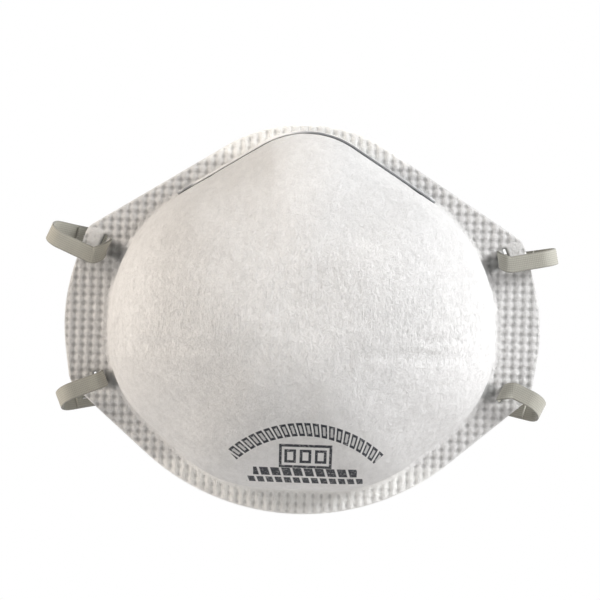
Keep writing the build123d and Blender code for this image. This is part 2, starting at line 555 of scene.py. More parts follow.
def rounded_line(
    corners: Sequence[Sequence[float]],
    reaches: Sequence[float],
    step: float,
    closed: bool = True,
) -> np.ndarray:
    """Evenly sampled straight runs joined by tangent arcs.

    Args:
        corners: Corners before rounding, in two dimensions.
        reaches: How far from each corner its arc starts. 0 leaves it sharp.
        step: Greatest distance between two points.
        closed: Whether the line returns to its first corner.

    Returns:
        The points, one row each. A closed line doesn't repeat its first point.
    """
    points = [np.array(corner, float) for corner in corners]
    count = len(points)
    joins: list[list[np.ndarray]] = []
    for i, corner in enumerate(points):
        if reaches[i] <= 0 or (not closed and i in (0, count - 1)):
            joins.append([corner])
            continue
        before = unit(points[i - 1] - corner)
        after = unit(points[(i + 1) % count] - corner)
        turn = math.pi - math.acos(np.clip(before @ after, -1, 1))
        radius = reaches[i] / math.tan(turn / 2)
        centre = corner + unit(before + after) * radius / math.cos(turn / 2)
        start = corner + before * reaches[i] - centre
        side = corner + after * reaches[i] - centre
        side = unit(side - start * (side @ start) / (radius * radius)) * radius
        steps = max(2, math.ceil(radius * turn / step))
        angles = np.linspace(0, turn, steps + 1)
        joins.append([centre + start * math.cos(a) + side * math.sin(a) for a in angles])
    line: list[np.ndarray] = []
    last = count if closed else count - 1
    for i in range(count):
        line.extend(joins[i])
        if i < last:
            start, end = joins[i][-1], joins[(i + 1) % count][0]
            steps = max(1, math.ceil(np.linalg.norm(end - start) / step))
            line.extend(start + (end - start) * k / steps for k in range(1, steps))
    return np.array(line)


def mirrored(
    corners: Sequence[tuple[float, float]], reaches: Sequence[float]
) -> tuple[list[tuple[float, float]], list[float]]:
    """A symmetrical outline's corners and reaches, given those with x of 0 or more."""
    left = [((-x, z), r) for (x, z), r in zip(corners, reaches, strict=True) if x > 0]
    both = [*corners, *(corner for corner, _ in left[::-1])]
    return both, [*reaches, *(reach for _, reach in left[::-1])]


def inside(points: np.ndarray, outline: np.ndarray) -> np.ndarray:
    """Which of the points lie inside a closed outline."""
    x, z = points[:, 0], points[:, 1]
    result = np.zeros(len(points), bool)
    for (x0, z0), (x1, z1) in zip(outline, np.roll(outline, -1, axis=0)):
        if z0 == z1:
            continue
        crosses = (z0 > z) != (z1 > z)
        result ^= crosses & (x < (x1 - x0) * (z - z0) / (z1 - z0) + x0)
    return result


def distance_to(points: np.ndarray, lines: Iterable[np.ndarray]) -> np.ndarray:
    """Distance from each point to the nearest point of the lines."""
    marks = np.concatenate(list(lines))
    tree = kdtree.KDTree(len(marks))
    for i, mark in enumerate(marks):
        tree.insert((mark[0], mark[1], 0.0), i)
    tree.balance()
    return np.array([tree.find((x, z, 0.0))[2] for x, z in points])


def make_object(
    name: str, points: np.ndarray, faces: Sequence[Sequence[int]]
) -> bpy.types.Object:
    """A smooth mesh object from points and faces, linked to the scene."""
    mesh = bpy.data.meshes.new(name)
    mesh.from_pydata(np.asarray(points, float).tolist(), [], [list(f) for f in faces])
    mesh.validate()
    mesh.shade_smooth()
    piece = bpy.data.objects.new(name, mesh)
    bpy.context.scene.collection.objects.link(piece)
    return piece


def add_attribute(piece: bpy.types.Object, name: str, values: np.ndarray) -> None:
    """Stores a number or a vector for each point of a piece's mesh."""
    kind = "FLOAT" if values.ndim == 1 else "FLOAT_VECTOR"
    key = "value" if values.ndim == 1 else "vector"
    attribute = piece.data.attributes.new(name, kind, "POINT")
    attribute.data.foreach_set(key, values.astype(np.float32).ravel())


def ripple(points: np.ndarray, pitch: float, octaves: int = 2) -> np.ndarray:
    """Smooth noise from about -1 to 1 at each point, with features about a pitch wide."""
    scaled = (points / pitch).tolist()
    return np.array([noise.fractal(Vector(p), 0.6, 2.0, octaves) for p in scaled])


# ---------------------------------------------------------------------------------------
# The mask's own forms
# ---------------------------------------------------------------------------------------


@dataclass
class Dent:
    """A soft hollow in the moulded cup, seen from the front."""

    x: float
    z: float
    half_width: float
    half_height: float
    depth: float

    def at(self, x: np.ndarray, z: np.ndarray) -> np.ndarray:
        """How deep the hollow is at each place."""
        reach = ((x - self.x) / self.half_width) ** 2 + ((z - self.z) / self.half_height) ** 2
        return self.depth * np.exp(-reach)


@dataclass
class MaskForm:
    """Outlines of the flange and the cup, and the cup's rounded profile."""

    half_width: float
    half_height: float
    side_margin: float = 13.8 * MM
    slope_margin: float = 6.0 * MM
    jaw_margin: float = 7.5 * MM
    chin_margin: float = 7.6 * MM
    crown_lift: float = 3.0 * MM
    fullness: float = 2.4
    foot_fillet: float = 1.1 * MM
    cup_nose_reach: float = 16.4 * MM
    slit_length: float = 5.3 * MM
    slit_width: float = 0.9 * MM
    slit_lean: float = math.radians(22.0)
    slit_corner: float = 0.2 * MM
    upper_slit_inset: float = 4.9 * MM
    lower_slit_inset: float = 8.6 * MM
    lower_slit_rise: float = 1.0 * MM
    nose_corner: tuple[float, float] = field(init=False)
    shoulder_corner: tuple[float, float] = field(init=False)
    jaw_corner: tuple[float, float] = field(init=False)
    chin_corner: tuple[float, float] = field(init=False)
    upper_slope: float = field(init=False)
    cup_half_width: float = field(init=False)
    cup_nose_z: float = field(init=False)

    def __post_init__(self) -> None:
        """Works out the corners of the flange and of the cup."""
        wide, high = self.half_width, self.half_height
        self.nose_corner = (0.0, 1.145 * high)
        self.shoulder_corner = (0.92 * wide, 0.436 * high)
        self.jaw_corner = (0.972 * wide, -0.368 * high)
        self.chin_corner = (0.0, -1.39 * high)
        drop = self.nose_corner[1] - self.shoulder_corner[1]
        self.upper_slope = math.atan2(drop, self.shoulder_corner[0])
        self.cup_half_width = wide - self.side_margin
        self.cup_nose_z = self.nose_corner[1] - self.slope_margin / math.cos(self.upper_slope)
        self._reach_table = self._polar_table()

    def flange_outline(self, step: float) -> np.ndarray:
        """The flange's rounded outline, as points in X and Z."""
        corners = [
            self.nose_corner,
            self.shoulder_corner,
            (1.02 * self.half_width, 0.03 * self.half_height),
            self.jaw_corner,
            self.chin_corner,
        ]
        reaches = [30.0 * MM, 2.0 * MM, 13.0 * MM, 3.0 * MM, 62.0 * MM]
        return rounded_line(*mirrored(corners, reaches), step)

    def cup_outline(self, step: float) -> np.ndarray:
        """The cup's rounded outline where it meets the flange."""
        wide = self.cup_half_width
        rise = self.jaw_corner[1] - self.chin_corner[1]
        lower_slope = math.atan2(rise, self.jaw_corner[0])
        shoulder_z = self.cup_nose_z - wide * math.tan(self.upper_slope)
        line_z = self.chin_corner[1] + self.jaw_margin / math.cos(lower_slope)
        jaw_z = line_z + wide * math.tan(lower_slope)
        chin_z = self.chin_margin - self.half_height
        chin_x = (chin_z - line_z) / math.tan(lower_slope)
        side = shoulder_z - jaw_z
        corners = [(0.0, self.cup_nose_z), (wide, shoulder_z), (wide, jaw_z), (chin_x, chin_z)]
        reaches = [self.cup_nose_reach, 0.56 * side, 0.34 * side, 0.6 * chin_x]
        return rounded_line(*mirrored(corners, reaches), step)

    def _polar_table(self) -> tuple[np.ndarray, np.ndarray]:
        """The cup's outline as distance from the middle against angle."""
        outline = self.cup_outline(0.25 * MM)
        angles = np.arctan2(outline[:, 1], outline[:, 0])
        order = np.argsort(angles)
        return angles[order], np.hypot(*outline.T)[order]

    def cup_reach(self, angles: np.ndarray) -> np.ndarray:
        """Distance from the middle to the cup's outline, at each angle."""
        return np.interp(angles, *self._reach_table, period=2 * math.pi)

    def across(self, along: np.ndarray) -> np.ndarray:
        """Share of the outline that the cup keeps at that share of its height."""
        return (1 - np.clip(along, 0, 1) ** self.fullness) ** (1 / self.fullness)

    def slits(self) -> list[tuple[int, int, float, float]]:
        """Side, level and centre of each of the four slits."""
        upper = self.shoulder_corner
        lower = self.jaw_corner
        rows = (
            (1, upper[0] - self.upper_slit_inset, upper[1] - self.upper_slit_inset),
            (-1, lower[0] - self.lower_slit_inset, lower[1] + self.lower_slit_rise),
        )
        return [(side, level, side * x, z) for level, x, z in rows for side in (1, -1)]

    def slit_axes(self, side: int, level: int) -> tuple[np.ndarray, np.ndarray]:
        """A slit's directions in X and Z: outwards across it, and along it."""
        cos, sin = math.cos(self.slit_lean), math.sin(self.slit_lean)
        return np.array([side * cos, level * sin]), np.array([-level * sin, side * cos])

    def slit_outline(self, side: int, level: int, x: float, z: float) -> np.ndarray:
        """The rounded outline of one slit."""
        half = np.array([self.slit_length / 2, self.slit_width / 2])
        corners = [half * (1, 1), half * (-1, 1), half * (-1, -1), half * (1, -1)]
        line = rounded_line(corners, [self.slit_corner] * 4, 0.6 * MM)
        turn = math.pi / 2 + side * level * self.slit_lean
        cos, sin = math.cos(turn), math.sin(turn)
        return line @ np.array([[cos, sin], [-sin, cos]]) + (x, z)

    def dome(
        self, angles: np.ndarray, shares: np.ndarray, inset: float, foot: float, crown: float
    ) -> np.ndarray:
        """Points of the moulded cup.

        Args:
            angles: Angle of each point about the mask's middle.
            shares: How far down from the crown to the flange each point is, from 0 to 1.
            inset: How far the surface lies inside the outer cover's.
            foot: Y of the flange's face that the surface runs into.
            crown: Y of the crown.

        Returns:
            The points, one row each.
        """
        height = foot - crown
        low = (self.foot_fillet / height) ** (self.fullness / 2)
        profile = np.linspace(math.pi / 2, math.asin(low), 500)
        along = np.sin(profile) ** (2 / self.fullness)
        fillet = np.linspace(0, math.pi / 2, 40)[1:]
        ease = self.foot_fillet * (1 - np.sin(fillet)) / height
        along = np.concatenate([along, ease])
        spread = np.concatenate([np.zeros(500), self.foot_fillet * (1 - np.cos(fillet))])
        across = self.across(along)
        across[500:] = across[499]
        run = np.hypot(np.diff(across * self.cup_half_width + spread), np.diff(along) * height)
        way = np.concatenate([[0], np.cumsum(run)])
        way /= way[-1]
        along, across, spread = (np.interp(shares, way, v) for v in (along, across, spread))
        keep = (self.cup_half_width - inset) / self.cup_half_width
        reach = self.cup_reach(angles) * across * keep + spread
        lift = self.crown_lift * along**2
        y = foot - height * along
        return np.stack([reach * np.cos(angles), y, reach * np.sin(angles) + lift], axis=1)


@dataclass
class Emboss:
    """The square waffle pressed into the flange: pillows with a pit at each crossing."""

    pitch: float = 2.6 * MM
    depth: float = 0.48 * MM
    fade: float = 0.55 * MM
    ribs_from: float = 47.0 * MM
    pad_reach: float = 3.6 * MM
    pad_half: float = 3.2 * MM

    def pits(self, x: np.ndarray, z: np.ndarray) -> np.ndarray:
        """How deep the pattern is at each place, from 0 on a pillow to 1 in a pit."""
        column = (0.5 + 0.5 * np.cos(2 * math.pi * x / self.pitch)) ** 1.3
        row = (0.5 + 0.5 * np.cos(2 * math.pi * z / self.pitch)) ** 1.3
        row = row * (1 - 0.55 * self.pale(z))
        groove = 1 - (1 - 0.72 * column) * (1 - 0.66 * row)
        return np.clip(0.80 * groove + 0.28 * column * row, 0, 1)

    def pale(self, z: np.ndarray) -> np.ndarray:
        """How far the flange is pressed to plain ribs at that height, from 0 to 1."""
        from_top = z - self.ribs_from
        from_bottom = -z - self.ribs_from + 4 * MM
        return np.clip(np.maximum(from_top, from_bottom) / (4 * MM), 0, 1)

    def pads(self, points: np.ndarray, form: MaskForm) -> np.ndarray:
        """Which part of the pattern is left beside the upper slits, where it is sealed flat."""
        left = np.ones(len(points))
        for side, level, x, z in form.slits():
            if level < 0:
                continue
            out, wide = form.slit_axes(side, level)
            away = points - (x, z)
            along, across = away @ out, np.abs(away @ wide)
            middle = np.abs(along - self.pad_reach / 2 - 0.6 * MM) - self.pad_reach / 2
            beyond = np.maximum(middle, across - self.pad_half)
            left *= np.clip(beyond / (0.5 * MM), 0, 1)
        return left


def painted_slit_shadow(points: np.ndarray, form: MaskForm) -> np.ndarray:
    """Painted shade on the flange: a shadow patch inwards of each slit, and a dark rim round each
    slit.
    """
    shade = np.zeros(len(points))
    for side, level, x, z in form.slits():
        out, wide = form.slit_axes(side, level)
        away = points - (x, z)
        drop = 0.8 * MM if level > 0 else -1.2 * MM
        half = 2.2 * MM if level > 0 else 2.6 * MM
        along, across = -(away @ out), away @ wide + level * side * drop
        beyond = np.maximum(np.abs(along - 4.8 * MM), np.abs(across)) - half
        # Painted shadow patch inwards of the slit.
        shade = np.maximum(shade, 1 - np.clip(0.5 + beyond / (1.2 * MM), 0, 1))
        # Painted shade round the slit's rim.
        rim = distance_to(points, [form.slit_outline(side, level, x, z)])
        shade = np.maximum(shade, 1.3 * np.clip(1 - rim / (0.8 * MM), 0, 1))
    return shade


@dataclass
class Sheet:
    """One face of a ply: the moulded cup and the flange around it, in one piece."""

    form: MaskForm
    inset: float
    foot: float
    crown: float
    cells: int
    spacing: float
    edge_step: float
    emboss: Emboss | None = None
    outwards: int = -1

    def square_to_disc(self) -> tuple[np.ndarray, np.ndarray, np.ndarray]:
        """A grid of cells on a disc.

        Returns:
            Each point's angle, each point's share of the way from the middle to the rim,
            and the indices of the rim's points in order.
        """
        n = self.cells
        ticks = np.linspace(-1, 1, n + 1)
        u, v = (part.ravel() for part in np.meshgrid(ticks, ticks))
        wide = np.abs(u) > np.abs(v)
        radius = np.where(wide, u, v)
        safe = np.where(radius == 0, 1, radius)
        angle = np.where(wide, math.pi / 4 * v / safe, math.pi / 2 - math.pi / 4 * u / safe)
        x, z = radius * np.cos(angle), radius * np.sin(angle)
        row = n + 1
        south = [i for i in range(n)]
        east = [n + i * row for i in range(n)]
        north = [n * row + n - i for i in range(n)]
        west = [(n - i) * row for i in range(n)]
        rim = np.array(south + east + north + west)
        return np.arctan2(z, x), np.abs(radius), rim

    def build(self) -> tuple[np.ndarray, list[list[int]], list[np.ndarray], np.ndarray]:
        """Builds the face.

        Returns:
            Its points, its faces, the open edges as rows of indices, and each point's
            depth in the emboss from 0 to 1.
        """
        angles, shares, rim = self.square_to_disc()
        dome = self.form.dome(angles, shares, self.inset, self.foot, self.crown)
        n = self.cells
        faces = [
            [a, a + 1, a + n + 2, a + n + 1]
            for r in range(n)
            for a in range(r * (n + 1), r * (n + 1) + n)
        ]
        ring = dome[rim][:, [0, 2]]
        outline = self.form.flange_outline(self.edge_step)
        slits = [self.form.slit_outline(*slit) for slit in self.form.slits()]
        fill = self.fill_points(ring, outline, slits)
        loops = [ring, outline, *slits]
        flat = np.concatenate([*loops, fill])
        triangles = self.triangulate(flat, loops)
        numbers = np.concatenate([rim, len(dome) + np.arange(len(flat) - len(rim))])
        faces += numbers[triangles].tolist()
        flange = flat[len(rim) :]
        sunk, pits = self.press(flange, loops)
        sheet = np.stack([flange[:, 0], self.foot - self.outwards * sunk, flange[:, 1]], axis=1)
        edges = []
        start = len(rim)
        for loop in loops[1:]:
            edges.append(numbers[start : start + len(loop)])
            start += len(loop)
        depth = np.concatenate([np.zeros(len(dome)), pits])
        return np.concatenate([dome, sheet]), faces, edges, depth

    def fill_points(
        self, ring: np.ndarray, outline: np.ndarray, slits: list[np.ndarray]
    ) -> np.ndarray:
        """Points spread over the flange, clear of its edges."""
        reach = outline.max(axis=0)
        low = outline.min(axis=0)
        columns = np.arange(-reach[0], reach[0], self.spacing)
        rows = np.arange(low[1], reach[1], self.spacing)
        grid = np.stack([part.ravel() for part in np.meshgrid(columns, rows)], axis=1)
        grid[:, 0] += self.spacing / 2 * (np.arange(len(grid)) // len(columns) % 2)
        keep = inside(grid, outline) & ~inside(grid, ring)
        for slit in slits:
            keep &= ~inside(grid, slit)
        grid = grid[keep]
        return grid[distance_to(grid, [ring, outline, *slits]) > 0.6 * self.spacing]

    def triangulate(self, flat: np.ndarray, loops: list[np.ndarray]) -> np.ndarray:
        """Triangles between the cup's ring and the outline, leaving the slits open."""
        edges = []
        start = 0
        for loop in loops:
            count = len(loop)
            edges += [(start + i, start + (i + 1) % count) for i in range(count)]
            start += count
        points = [Vector(p) for p in flat.tolist()]
        found = delaunay_2d_cdt(points, edges, [], 0, 1e-9)
        back = np.array([source[0] for source in found[3]])
        triangles = back[np.array([list(face) for face in found[2]])]
        middles = flat[triangles].mean(axis=1)
        keep = inside(middles, loops[1])
        for hole in [loops[0], *loops[2:]]:
            keep &= ~inside(middles, hole)
        return triangles[keep]

    def press(
        self, flange: np.ndarray, loops: list[np.ndarray]
    ) -> tuple[np.ndarray, np.ndarray]:
        """How far each point of the flange is pressed in, and its depth in the emboss."""
        if self.emboss is None:
            return np.zeros(len(flange)), np.zeros(len(flange))
        emboss = self.emboss
        near_edge = distance_to(flange, loops[1:])
        near_ring = distance_to(flange, loops[:1])
        room = np.clip(np.minimum(near_edge, near_ring * 1.6) / emboss.fade, 0, 1)
        room = room * room * (3 - 2 * room)
        pits = emboss.pits(flange[:, 0], flange[:, 1]) * room * emboss.pads(flange, self.form)
        rolled = 0.12 * MM * np.clip(1 - near_edge / (0.5 * MM), 0, 1) ** 2
        return emboss.depth * (pits - 0.45 * room) + rolled, pits


@dataclass
class Ply:
    """One bonded ply: two faces joined round the flange's edge and inside its slits."""

    node: str
    slot: str
    finish: Nonwoven
    form: MaskForm
    outside: Sheet
    face_side: Sheet
    grain: float = 0.0
    dents: tuple[Dent, ...] = ()

    def build(self) -> bpy.types.Object:
        """Builds the ply, dresses it and hands it to its body."""
        front, front_faces, front_edges, front_pits = self.outside.build()
        back, back_faces, back_edges, back_pits = self.face_side.build()
        front = self.soften(front, self.outside)
        shift = len(front)
        faces = [*front_faces, *([i + shift for i in face[::-1]] for face in back_faces)]
        for near, far in zip(front_edges, back_edges, strict=True):
            after, beyond = np.roll(near, -1), np.roll(far, -1)
            walls = np.stack([near, after, beyond + shift, far + shift], axis=1)
            faces += walls.tolist()
        piece = make_object(self.node + "_cloth", np.concatenate([front, back]), faces)
        # The pit depth also drives the painted shade in the emboss pits.
        add_attribute(piece, "pit", np.concatenate([front_pits, back_pits]))
        every = np.concatenate([front, back])
        on_flange = np.clip(1 - (self.outside.foot - every[:, 1]) / (2 * MM), 0, 1)
        # Painted shade inwards of each slit and round its rim, kept to the flange.
        shade = painted_slit_shadow(every[:, [0, 2]], self.form) * on_flange
        add_attribute(piece, "tail", shade)
        # This share also lightens the flange's colour at its top and bottom: painted light.
        add_attribute(piece, "pale", Emboss().pale(every[:, 2]) * on_flange)
        piece.data.materials.append(self.finish.make())
        turn_outwards(piece)
        return hand_over(piece, "cup", self.slot, self.node)

    def soften(self, points: np.ndarray, sheet: Sheet) -> np.ndarray:
        """The outside face with its dents and the unevenness of felted fibre."""
        if not self.grain:
            return points
        on_cup = np.clip((sheet.foot - points[:, 1]) / (4 * MM), 0, 1)
        depth = sum(dent.at(points[:, 0], points[:, 2]) for dent in self.dents) * on_cup
        rough = ripple(points, 9 * MM, 2) * 0.6 + ripple(points, 2.4 * MM, 2) * 0.4
        middle = np.array([0.0, sheet.foot, 0.0])
        away = points - middle
        away /= np.maximum(np.linalg.norm(away, axis=1), MM)[:, None]
        moved = (self.grain * rough * on_cup - depth)[:, None] * away
        return points + moved


def turn_outwards(piece: bpy.types.Object) -> None:
    """Turns every face of a closed piece outwards."""
    body = bmesh.new()
    body.from_mesh(piece.data)
    bmesh.ops.recalc_face_normals(body, faces=body.faces)
    body.to_mesh(piece.data)
    body.free()


def hand_over(
    piece: bpy.types.Object, body: str, slot: str, *nodes: str
) -> bpy.types.Object:
    """Makes a piece ride on its body and stand for its CAD nodes, and reports it.

    Args:
        piece: The finished piece.
        body: Name of the body that it moves with.
        slot: Name of the material slot that it takes its finish from. Not used.
        *nodes: CAD nodes that it stands for.

    Returns:
        The same piece.
    """
    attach(piece, body)
    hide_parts(*nodes)
    triangles = sum(len(face.vertices) - 2 for face in piece.data.polygons)
    log.info("%s rides on %s: %d triangles", piece.name, body, triangles)
    return piece


# ---------------------------------------------------------------------------------------
# Strips and wires
# ---------------------------------------------------------------------------------------


def sweep(
    name: str,
    line: np.ndarray,
    across: np.ndarray,
    profile: np.ndarray,
    scales: np.ndarray | None = None,
) -> bpy.types.Object:
    """A closed body whose profile follows a line.

    Args:
        name: The piece's name.
        line: The line's points.
        across: Direction of the profile's first axis at each point.
        profile: The closed profile, as points in two dimensions.
        scales: Two scales of the profile at each point, or None for its full size.

    Returns:
        The piece.
    """
    along = np.gradient(line, axis=0)
    along /= np.linalg.norm(along, axis=1)[:, None]
    across = across - along * (across * along).sum(axis=1)[:, None]
    across /= np.linalg.norm(across, axis=1)[:, None]
    out = np.cross(along, across)
    scales = np.ones((len(line), 2)) if scales is None else scales
    first = across[:, None, :] * (profile[:, 0] * scales[:, :1])[:, :, None]
    second = out[:, None, :] * (profile[:, 1] * scales[:, 1:])[:, :, None]
    points = line[:, None, :] + first + second
    piece = make_object(name, points.reshape(-1, 3), tube_faces(len(line), len(profile)))
    turn_outwards(piece)
    return piece


def tube_faces(stations: int, places: int) -> list[list[int]]:
    """Faces of a tube of that many stations and places round it, closed at both ends."""
    faces = [
        [
            s * places + p,
            s * places + (p + 1) % places,
            (s + 1) * places + (p + 1) % places,
            (s + 1) * places + p,
        ]
        for s in range(stations - 1)
        for p in range(places)
    ]
    last = (stations - 1) * places
    return [*faces, list(range(places))[::-1], [last + p for p in range(places)]]


@dataclass
class Loop:
    """One end of a headband: round the flange's edge and back through the flange.

    The lead takes the front run inwards of the slit, the slip moves the loop along its
    slit, the tilt sends its rear outwards, and the sway turns it about the slit.

    Known fault: the lead slants the strap where it crosses the flange, so it cuts
    through the plies beside the slit, by 0.5 to 2.4 mm.
    """

    side: int
    level: int
    x: float
    z: float
    reach: float
    stand: float
    lead: float
    slip: float
    tilt: float
    sway: float


class Rounding(Enum):
    """Bends of the strap, by their radius in metres."""

    SLIT = 1.6 * MM
    HAIRPIN = 3.6 * MM


@dataclass
class Headband:
    """An elastic headband with its two loops, closed by a staple at each end."""

    level: int
    loops: tuple[Loop, Loop]
    middle: float
    finish: RibbedElastic
    steel: DrawnSteel
    width: float = 5.0 * MM
    thickness: float = 0.8 * MM
    rib_pitch: float = 0.62 * MM
    rib_depth: float = 0.07 * MM
    plain_stand: float = 4.4 * MM
    lean: float = math.radians(22.0)
    back_slope: float = math.radians(32.0)
    plain_reach: float = 14.0 * MM
    tail_length: float = 10.5 * MM
    tail_pitch: float = 0.84 * MM
    rear_reach: float = 45.0 * MM
    rear_rise: float = 2.0 * MM
    rear_steps: int = 90
    line_step: float = 0.35 * MM
    wire_step: float = 0.15 * MM
    front_share: float = 0.66
    back_share: float = 0.30
    ease_behind: float = 5.0 * MM
    ease_front: float = 6.0 * MM
    wire: float = 0.5 * MM
    staple_crown: float = 4.4 * MM
    staple_corner: float = 0.5 * MM
    staple_tip: float = 1.5 * MM

    def __post_init__(self) -> None:
        """Works out where the run behind the flange starts."""
        turn_back = 2 * Rounding.HAIRPIN.value - self.plain_stand
        self.back = turn_back + self.plain_reach * math.tan(self.back_slope)
        self.tail = self.back - self.tail_pitch / math.cos(self.back_slope)

    @property
    def name(self) -> str:
        """The level as a word."""
        return "upper" if self.level > 0 else "lower"

    def axes(self, loop: Loop) -> tuple[np.ndarray, np.ndarray, np.ndarray]:
        """A loop's directions: outwards, backwards, and along the strap's width."""
        lean = self.lean + loop.sway
        cos, sin = math.cos(lean), math.sin(lean)
        out = np.array([loop.side * cos, 0, loop.level * sin])
        wide = np.array([-loop.level * sin, 0, loop.side * cos])
        return out, np.array([0.0, 1.0, 0.0]), wide

    def run(self, along: float, behind: float, start: float) -> np.ndarray:
        """Place of the loop's plane that far along the run behind the flange."""
        cos, sin = math.cos(self.back_slope), math.sin(self.back_slope)
        return np.array([along * cos + behind * sin, start - along * sin + behind * cos])

    def place(self, loop: Loop, points: np.ndarray, ease: np.ndarray | float = 1.0) -> np.ndarray:
        """Points of a loop's plane, placed in space.

        Args:
            loop: The loop.
            points: Places outwards and backwards from the slit.
            ease: How much of the loop's slip and tilt each point takes, from 0 to 1.

        Returns:
            The points in space.
        """
        out, back, wide = self.axes(loop)
        origin = np.array([loop.x, -self.middle, loop.z])
        u, v = points[:, :1], points[:, 1:2]
        shift = (loop.slip + math.tan(loop.tilt) * v) * np.reshape(ease, (-1, 1))
        return origin + u * out + v * back + shift * loop.level * loop.side * wide

    def loop_line(self, loop: Loop) -> np.ndarray:
        """Middle line of one loop, from its sewn-back end to where it leaves the loop."""
        reach = loop.reach - self.thickness / 2
        turn_back = self.back - reach * math.tan(self.back_slope)
        side = turn_back + loop.stand
        slit = Rounding.SLIT.value
        turn = math.pi / 2 + self.back_slope
        corners = [
            self.run(self.tail_length, 0, self.tail),
            (0, self.tail),
            (-loop.lead, -loop.stand),
            (reach, -loop.stand),
            (reach, turn_back),
            (0, self.back),
        ]
        reaches = [0, slit * math.tan(turn / 2), 2.0 * slit]
        reaches += [self.front_share * side, self.back_share * side, 0]
        flat = rounded_line(corners, reaches, self.line_step, closed=False)
        way = np.concatenate([[0], np.cumsum(np.linalg.norm(np.diff(flat, axis=0), axis=1))])
        leg = flat[:, 0] < slit / 2
        above = np.flatnonzero(leg & (flat[:, 1] > self.middle + self.thickness))
        below = np.flatnonzero(leg & (flat[:, 1] < -self.middle - self.thickness))
        top = above[above < below[0]][-1]
        upper, lower = way[top], way[below[0]]
        knots = [upper - self.ease_behind, upper, lower, lower + self.ease_front]
        ease = np.interp(way, knots, [1, 0, 0, 1])
        ease = ease * ease * (3 - 2 * ease)
        return self.place(loop, flat, ease)

    def rear_line(self, start: np.ndarray, end: np.ndarray) -> np.ndarray:
        """Smooth way from one loop round the back of the head to the other.

        Args:
            start: The first loop's last two points.
            end: The other loop's last two points.

        Returns:
            The points between the two loops.
        """
        rise = self.level * self.rear_rise
        rear = np.array([0.0, self.rear_reach - self.middle, (start[1] + end[1])[2] / 2 + rise])
        leave, arrive = unit(start[1] - start[0]), unit(end[0] - end[1])
        sideways = unit((end[1] - start[1]) * (1, 0, 0))
        shares = np.linspace(0, 1, self.rear_steps)[1:, None]
        halves = []
        for first, last, away, into in (
            (start[1], rear, leave, sideways),
            (rear, end[1], sideways, arrive),
        ):
            chord = np.linalg.norm(last - first)
            s2, s3 = shares**2, shares**3
            halves.append(
                (2 * s3 - 3 * s2 + 1) * first
                + (s3 - 2 * s2 + shares) * away * chord
                + (3 * s2 - 2 * s3) * last
                + (s3 - s2) * into * chord
            )
        return np.concatenate([halves[0], halves[1][:-1]])

    def profile(self) -> np.ndarray:
        """Section of the elastic: ribs on both faces and rounded selvedges."""
        ticks = np.linspace(-1, 1, 57)
        across = ticks * self.width / 2
        rib = np.abs(np.sin(math.pi * across / self.rib_pitch)) ** 0.7
        edge = (1 - np.abs(ticks) ** 14) ** 0.5
        half = (self.thickness / 2 - self.rib_depth * (1 - rib)) * (0.25 + 0.75 * edge)
        top = np.stack([across, half], axis=1)
        bottom = np.stack([across, -half], axis=1)[::-1]
        return np.concatenate([top, bottom])

    def build(self) -> list[bpy.types.Object]:
        """Builds the headband and its two staples."""
        right, left = self.loops
        first, second = self.loop_line(right), self.loop_line(left)
        rear = self.rear_line(first[-2:], second[-2:])
        line = np.concatenate([first, rear, second[::-1]])
        wide = [self.axes(right)[2], -self.axes(left)[2]]
        share = np.clip((np.arange(len(line)) - len(first)) / len(rear), 0, 1)[:, None]
        upright = np.sin(math.pi * share) ** 2
        across = np.where(share < 0.5, wide[0], wide[1]) * (1 - upright)
        across = across + np.array([0.0, 0.0, 1.0]) * upright
        stretch = np.stack([1 + 0.02 * ripple(line, 7 * MM), np.ones(len(line))], axis=1)
        profile = self.profile()
        body = f"{self.name}_band"
        piece = sweep(f"{self.name}_elastic", line, across, profile, stretch)
        way = np.concatenate([[0], np.cumsum(np.linalg.norm(np.diff(line, axis=0), axis=1))])
        weave = np.zeros((len(line), len(profile), 3))
        weave[:, :, 0] = profile[None, :, 0]
        weave[:, :, 1] = way[:, None]
        add_attribute(piece, "weave", weave.reshape(-1, 3))
        piece.data.materials.append(self.finish.make())
        hand_over(piece, body, "elastic", f"{self.name}_headband")
        staples = [self.staple(loop) for loop in self.loops]
        return [piece, *staples]

    def staple(self, loop: Loop) -> bpy.types.Object:
        """One staple through the run behind the flange and the sewn-back end."""
        crown = (self.thickness + self.wire) / 2
        clinch = -crown - self.tail_pitch
        turn = math.pi / 2 + self.back_slope
        middle = (Rounding.SLIT.value * math.tan(turn / 2) + self.tail_length) / 2
        near, far = middle - self.staple_crown / 2, middle + self.staple_crown / 2
        corners = [
            self.run(near + self.staple_tip, clinch, self.back),
            self.run(near, clinch, self.back),
            self.run(near, crown, self.back),
            self.run(far, crown, self.back),
            self.run(far, clinch, self.back),
            self.run(far - self.staple_tip, clinch, self.back),
        ]
        reaches = [0, *[self.staple_corner] * 4, 0]
        flat = rounded_line(corners, reaches, self.wire_step, closed=False)
        line = self.place(loop, flat)
        across = np.tile(self.axes(loop)[2], (len(line), 1))
        angles = np.linspace(0, 2 * math.pi, 17)[:-1]
        round_wire = np.stack([np.cos(angles), np.sin(angles)], axis=1) * self.wire / 2
        hand = "right" if loop.side > 0 else "left"
        piece = sweep(f"staple_wire_{self.name}_{hand}", line, across, round_wire)
        piece.data.materials.append(self.steel.make())
        node = f"staple_{self.name}_{hand}"
        return hand_over(piece, f"{self.name}_band", "staple_steel", node)


